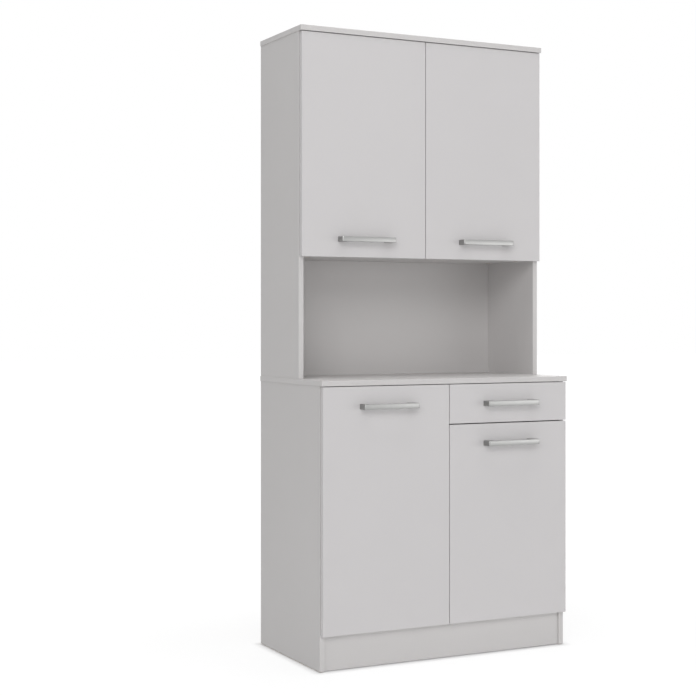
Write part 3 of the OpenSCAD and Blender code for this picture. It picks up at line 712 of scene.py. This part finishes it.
def loose_parts(node):
    """The separate solids of a CAD node, each as a list of its corners' places."""
    mesh = copy_of(node)
    parts, seen = [], set()
    for start in mesh.verts:
        if start in seen:
            continue
        seen.add(start)
        group, waiting = [], [start]
        while waiting:
            vertex = waiting.pop()
            group.append(vertex.co.copy())
            for edge in vertex.link_edges:
                other = edge.other_vert(vertex)
                if other not in seen:
                    seen.add(other)
                    waiting.append(other)
        parts.append(group)
    mesh.free()
    return parts


def long_axis(points):
    """Axis, lowest and highest corner of a turned part, and its radius at both ends."""
    low = Vector([min(p[i] for p in points) for i in range(3)])
    high = Vector([max(p[i] for p in points) for i in range(3)])
    size = high - low
    axis = max(range(3), key=lambda i: size[i])
    middle = (low + high) / 2

    def radius_at(place):
        spokes = [p - middle for p in points if abs(p[axis] - place) < ON_PLANE]
        return max((spoke - along(axis, spoke[axis])).length for spoke in spokes)

    return axis, low, high, radius_at(low[axis]), radius_at(high[axis])


def ring(mesh, radius, height, sides, star=0.0):
    """A loop of edges round Z. Star draws it in between four arms, as a cross or flutes."""
    made = bmesh.ops.create_circle(mesh, segments=sides, radius=1.0, cap_ends=False)
    for i, vertex in enumerate(made["verts"]):
        turn = 2.0 * math.pi * i / sides
        reach = radius * (1.0 - star * abs(math.sin(2.0 * turn)) ** 0.5)
        vertex.co = (reach * math.cos(turn), reach * math.sin(turn), height)
    return [e for e in mesh.edges if e.verts[0] in made["verts"] and e.verts[1] in made["verts"]]


def lathe(profile, sides):
    """Closed turned shape from (radius, height, star) rings, from its head down."""
    mesh = bmesh.new()
    loops = [ring(mesh, radius, height, sides, star) for radius, height, star in profile]
    for first, second in zip(loops, loops[1:]):
        bmesh.ops.bridge_loops(mesh, edges=first + second)
    for loop in (loops[0], loops[-1]):
        bmesh.ops.edgeloop_fill(mesh, edges=loop)
    bmesh.ops.recalc_face_normals(mesh, faces=mesh.faces)
    return mesh


def screw_profile(head_r, head_t, shank_r, length):
    """Rings of a pan head screw. Z = 0 is under its head, and its thread is rings."""
    pitch = 0.0011
    cross = 0.62
    recess = 0.52 * head_r
    rings = [(recess * 0.55, head_t * 0.25, cross), (recess, head_t * 0.995, cross),
             (head_r * 0.62, head_t, 0.0), (head_r * 0.86, head_t * 0.86, 0.0),
             (head_r, head_t * 0.45, 0.0), (head_r, 0.00015, 0.0),
             (head_r * 0.97, 0.0, 0.0), (shank_r, 0.0, 0.0)]
    plain = min(0.25 * length, 0.003)
    tip = shank_r * 1.6
    turns = max(2, round((length - plain - tip) / pitch))
    step = (length - plain - tip) / turns
    root, crest, flank = shank_r * 0.74, shank_r, shank_r * 0.97
    for i in range(turns):
        top = -plain - i * step
        rings.append((root, top - 0.15 * step, 0.0))
        rings.append((crest, top - 0.55 * step, 0.0))
        rings.append((flank, top - 0.68 * step, 0.0))
    rings.append((shank_r * 0.7, tip - length, 0.0))
    rings.append((shank_r * 0.12, -length, 0.0))
    return rings


def turned_to(axis, sign, place):
    """Matrix that stands a part made along +Z on an axis, at a place."""
    turn = along(Z, 1.0).rotation_difference(along(axis, float(sign)))
    return Matrix.Translation(place) @ turn.to_matrix().to_4x4()


def append_to(whole, part, matrix):
    """Adds a part to a mesh at its place."""
    part.transform(matrix)
    data = bpy.data.meshes.new("part")
    part.to_mesh(data)
    part.free()
    whole.from_mesh(data)
    bpy.data.meshes.remove(data)


def screw_at(whole, points):
    """Adds a screw where a CAD screw stands, with its head at the wider end."""
    axis, low, high, low_r, high_r = long_axis(points)
    sign = 1 if high_r > low_r else -1
    head_r, shank_r = max(low_r, high_r), min(low_r, high_r)
    places = sorted({round(p[axis], 6) for p in points})
    heads = places[-2:] if sign > 0 else places[:2]
    head_t = heads[1] - heads[0]
    length = (high - low)[axis] - head_t
    seat = (low + high) / 2
    seat[axis] = heads[0] if sign > 0 else heads[1]
    screw = lathe(screw_profile(head_r, head_t, shank_r, length), SCREW_SIDES)
    append_to(whole, screw, turned_to(axis, sign, seat))


def dowel_at(whole, points):
    """Adds a fluted dowel with chamfered ends."""
    axis, low, high, radius, _ = long_axis(points)
    half = (high - low)[axis] / 2
    end_r, chamfer = radius * 0.82, 0.0012
    flute, flute_end = 0.07, 0.0018
    rings = [(end_r, half, 0.0), (radius, half - chamfer, 0.0), (radius, half - flute_end, flute),
             (radius, flute_end - half, flute), (radius, chamfer - half, 0.0), (end_r, -half, 0.0)]
    append_to(whole, lathe(rings, DOWEL_SIDES), turned_to(axis, 1, (low + high) / 2))


# ------------------------------------------------------------------ operators


class CABINET_OT_fronts(bpy.types.Operator):
    """Doors and drawer front, with banded edges"""

    bl_idname = "cabinet.fronts"
    bl_label = "Fronts"

    def execute(self, context):
        skins = [finish("front"), finish("front_band"), finish("core")]
        for node in FRONTS:
            mesh = banded_board(node, Y, ("-x", "+x", "-z", "+z"), boards().band, boards().arris)
            add_piece(node + "_board", mesh, skins, node)
        return {"FINISHED"}


class CABINET_OT_carcass(bpy.types.Operator):
    """Sides, tops, bottoms, divider, plinth and shelves"""

    bl_idname = "cabinet.carcass"
    bl_label = "Carcass boards"

    def execute(self, context):
        for node, (thickness, banded) in BOARDS.items():
            # The countertop gets the lighter worktop finish. Its extra lightness is painted light
            # on its top.
            face = finish("worktop" if node == "countertop" else "carcass")
            mesh = banded_board(node, thickness, banded, boards().band, boards().arris)
            skins = [face, finish("carcass_band"), finish("core")]
            add_piece(node + "_board", mesh, skins, node)
        return {"FINISHED"}


class CABINET_OT_drawer_box(bpy.types.Operator):
    """Sides and back of the drawer"""

    bl_idname = "cabinet.drawer_box"
    bl_label = "Drawer box"

    def execute(self, context):
        skins = [finish("carcass"), finish("carcass_band"), finish("core")]
        for node, (thickness, banded) in DRAWER_BOARDS.items():
            mesh = banded_board(node, thickness, banded, boards().band, boards().arris)
            add_piece(node + "_board", mesh, skins, node)
        return {"FINISHED"}


class CABINET_OT_sheets(bpy.types.Operator):
    """Back sheets and the drawer's bottom"""

    bl_idname = "cabinet.sheets"
    bl_label = "Back sheets"

    def execute(self, context):
        skins = [finish("sheet"), finish("hardboard")]
        for node, raw_side in SHEETS.items():
            add_piece(node + "_sheet", thin_sheet(node, raw_side), skins, node)
        return {"FINISHED"}


class CABINET_OT_handles(bpy.types.Operator):
    """Five satin bow handles"""

    bl_idname = "cabinet.handles"
    bl_label = "Handles"

    def execute(self, context):
        for node in ["handle_" + door for door in DOORS] + ["drawer_handle"]:
            add_piece(node + "_bow", handle_mesh(node), [finish("handle")], node)
        return {"FINISHED"}


class CABINET_OT_hinges(bpy.types.Operator):
    """Hinge cups, arms and plates with eased edges, and the finish of the pins"""

    bl_idname = "cabinet.hinges"
    bl_label = "Hinges"

    def execute(self, context):
        for node in ["hinge_arms", "hinge_plates"] + ["hinge_cups_" + door for door in DOORS]:
            add_piece(node + "_pressed", eased_copy(node, metal().ease), [finish("nickel")], node)
        for door in DOORS:
            dress("hinge_pins_" + door, "nickel")
        return {"FINISHED"}


class CABINET_OT_runners(bpy.types.Operator):
    """Drawer runners and their rollers"""

    bl_idname = "cabinet.runners"
    bl_label = "Runners"

    def execute(self, context):
        for side in ("left", "right"):
            for node in ("cabinet_runner_" + side, "drawer_runner_" + side):
                add_piece(node + "_rail", eased_copy(node, metal().ease), [finish("runner")], node)
        for node in ("cabinet_rollers", "drawer_rollers"):
            wheels = eased_copy(node, 2.0 * metal().ease)
            add_piece(node + "_wheels", wheels, [finish("nylon")], node)
        return {"FINISHED"}


class CABINET_OT_screws(bpy.types.Operator):
    """Screws with cross recesses, and fluted dowels"""

    bl_idname = "cabinet.screws"
    bl_label = "Screws and dowels"

    def execute(self, context):
        for node in ["fixing_screws", "confirmat_screws"] + ["screws_" + door for door in DOORS]:
            mesh = bmesh.new()
            for points in loose_parts(node):
                screw_at(mesh, points)
            smooth_by_angle(mesh, TURNED_ANGLE)
            add_piece(node + "_turned", mesh, [finish("zinc")], node)
        mesh = bmesh.new()
        for points in loose_parts("panel_dowels"):
            dowel_at(mesh, points)
        smooth_by_angle(mesh, TURNED_ANGLE)
        add_piece("panel_dowels_fluted", mesh, [finish("beech")], "panel_dowels")
        self.drawer_fixings()
        return {"FINISHED"}

    @staticmethod
    def drawer_fixings():
        """The drawer's screws and its dowels share a node: a dowel has equal ends."""
        mesh = bmesh.new()
        for points in loose_parts("drawer_fixings"):
            low_r, high_r = long_axis(points)[3:]
            before = len(mesh.faces)
            if abs(low_r - high_r) < ON_PLANE:
                dowel_at(mesh, points)
                mesh.faces.ensure_lookup_table()
                for face in mesh.faces[before:]:
                    face.material_index = WOOD
            else:
                screw_at(mesh, points)
        smooth_by_angle(mesh, TURNED_ANGLE)
        skins = {STEEL: finish("zinc"), WOOD: finish("beech")}
        add_piece("drawer_fixings_turned", mesh, skins.values(), "drawer_fixings")


class CABINET_OT_fittings(bpy.types.Operator):
    """Cams, bolts, shelf pins, brackets, glides and bumpers"""

    bl_idname = "cabinet.fittings"
    bl_label = "Small fittings"

    def execute(self, context):
        eased = {"cam_locks": "cast", "wall_brackets": "nickel", "floor_glides": "glide",
                 "door_bumpers": "clear"}
        for node, skin in eased.items():
            add_piece(node + "_eased", eased_copy(node, 1.5 * metal().ease), [finish(skin)], node)
        dress("cam_bolts", "zinc")
        dress("shelf_pins", "nickel")
        return {"FINISHED"}


class CABINET_OT_stage(bpy.types.Operator):
    """Floor, light and camera"""

    bl_idname = "cabinet.stage"
    bl_label = "Stage"

    def execute(self, context):
        settings = context.scene.cabinet_stage
        self.make_floor(settings)
        self.make_world(settings)
        self.make_lights(settings)
        self.make_camera(settings)
        context.scene.view_settings.view_transform = "Standard"
        return {"FINISHED"}

    @staticmethod
    def make_floor(settings):
        """Pale floor that keeps the cabinet's shadow and is white beyond it."""
        mesh = bmesh.new()
        bmesh.ops.create_grid(mesh, x_segments=4, y_segments=4, size=settings.floor_size / 2)
        data = bpy.data.meshes.new("floor")
        mesh.to_mesh(data)
        mesh.free()
        floor = bpy.data.objects.new("floor", data)
        bpy.context.scene.collection.objects.link(floor)
        f = Finish("pale_floor")
        grain = f.noise(30.0, 3.0)
        f.surface(base_color=f.tinted(settings.floor_colour, 0.995 + 0.01 * grain),
                  roughness=0.7 + 0.05 * (grain - 0.5), specular_ior_level=0.2)
        low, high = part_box("base_side_left")[0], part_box("base_side_right")[1]
        middle, half = (low + high) / 2, (high - low) / 2
        beside = f.vector("SUBTRACT", f.place, (middle.x, middle.y, 0.0))
        beside = f.vector("SUBTRACT", f.vector("ABSOLUTE", beside), (half.x, half.y, 0.0))
        beside = f.vector("MAXIMUM", beside, (0.0, 0.0, 0.0))
        away = f.node("ShaderNodeVectorMath", {"operation": "LENGTH"}, {0: beside}, "Value")
        near = f.between(away, INSIDE_FOOT, NEAR_REACH, 0.0, NEAR_WHITE)
        white = near + f.between(away, 0.0, FAR_REACH, 0.0, FAR_WHITE)
        lit = Value(f, f.shader.outputs[0])
        glow = f.node("ShaderNodeEmission", {}, {"Color": WHITE, "Strength": WHITE_STRENGTH})
        shown = f.node("ShaderNodeMixShader", {}, {0: white * f.seen_directly(), 1: lit, 2: glow})
        f.feed(f.tree.nodes["Material Output"], {"Surface": shown})
        data.materials.append(f.material)

    @staticmethod
    def make_world(settings):
        """Even light from all round, with a plain white background."""
        world = bpy.data.worlds.new("even_light")
        world.use_nodes = True
        bpy.context.scene.world = world
        sky = Tree(world.node_tree)
        level = settings.sky + (1.0 - settings.sky) * sky.seen_directly()
        sky.feed(world.node_tree.nodes["Background"], {"Color": WHITE, "Strength": level})

    @staticmethod
    def make_lights(settings):
        """Large soft boxes round the cabinet, each aimed at its middle."""
        for name, (place, (width, height)) in SOFT_BOXES.items():
            data = bpy.data.lights.new(name, "AREA")
            data.shape = "RECTANGLE"
            data.size = width
            data.size_y = height
            data.energy = getattr(settings, name + "_power")
            lamp = bpy.data.objects.new(name, data)
            lamp.location = place
            aim = AIM - Vector(place)
            lamp.rotation_euler = aim.to_track_quat("-Z", "Y").to_euler()
            bpy.context.scene.collection.objects.link(lamp)

    @staticmethod
    def make_camera(settings):
        """Level camera at the photograph's place, with its shift."""
        data = bpy.data.cameras.new("camera")
        data.lens = settings.lens
        data.sensor_width = CAMERA_SENSOR
        data.shift_y = CAMERA_SHIFT
        camera = bpy.data.objects.new("camera", data)
        camera.location = CAMERA_PLACE
        camera.rotation_euler = (math.pi / 2, 0.0, CAMERA_HEADING)
        bpy.context.scene.collection.objects.link(camera)
        bpy.context.scene.camera = camera


OPERATORS = (
    CABINET_OT_stage, CABINET_OT_fronts, CABINET_OT_carcass, CABINET_OT_drawer_box,
    CABINET_OT_sheets, CABINET_OT_handles, CABINET_OT_hinges, CABINET_OT_runners,
    CABINET_OT_screws, CABINET_OT_fittings,
)


class CABINET_PT_panel(bpy.types.Panel):
    """Sizes, colours and steps of the cabinet"""

    bl_label = "Microwave Cabinet"
    bl_idname = "CABINET_PT_panel"
    bl_space_type = "VIEW_3D"
    bl_region_type = "UI"
    bl_category = "Cabinet"

    def draw(self, context):
        for group in (context.scene.cabinet_boards, context.scene.cabinet_metal,
                      context.scene.cabinet_stage):
            box = self.layout.box()
            for name in group.__annotations__:
                box.prop(group, name)
        for operator in OPERATORS:
            self.layout.operator(operator.bl_idname)


GROUPS = {"cabinet_boards": BoardSettings, "cabinet_metal": MetalSettings,
          "cabinet_stage": StageSettings}
CLASSES = (*GROUPS.values(), *OPERATORS, CABINET_PT_panel)


def register():
    for item in CLASSES:
        bpy.utils.register_class(item)
    for name, group in GROUPS.items():
        setattr(bpy.types.Scene, name, PointerProperty(type=group))


def unregister():
    for name in GROUPS:
        delattr(bpy.types.Scene, name)
    for item in reversed(CLASSES):
        bpy.utils.unregister_class(item)


def main():
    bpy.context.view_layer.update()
    register()
    FINISHES.update(make_finishes())
    for operator in OPERATORS:
        group, name = operator.bl_idname.split(".")
        getattr(getattr(bpy.ops, group), name)()


if __name__ == "__main__":
    main()
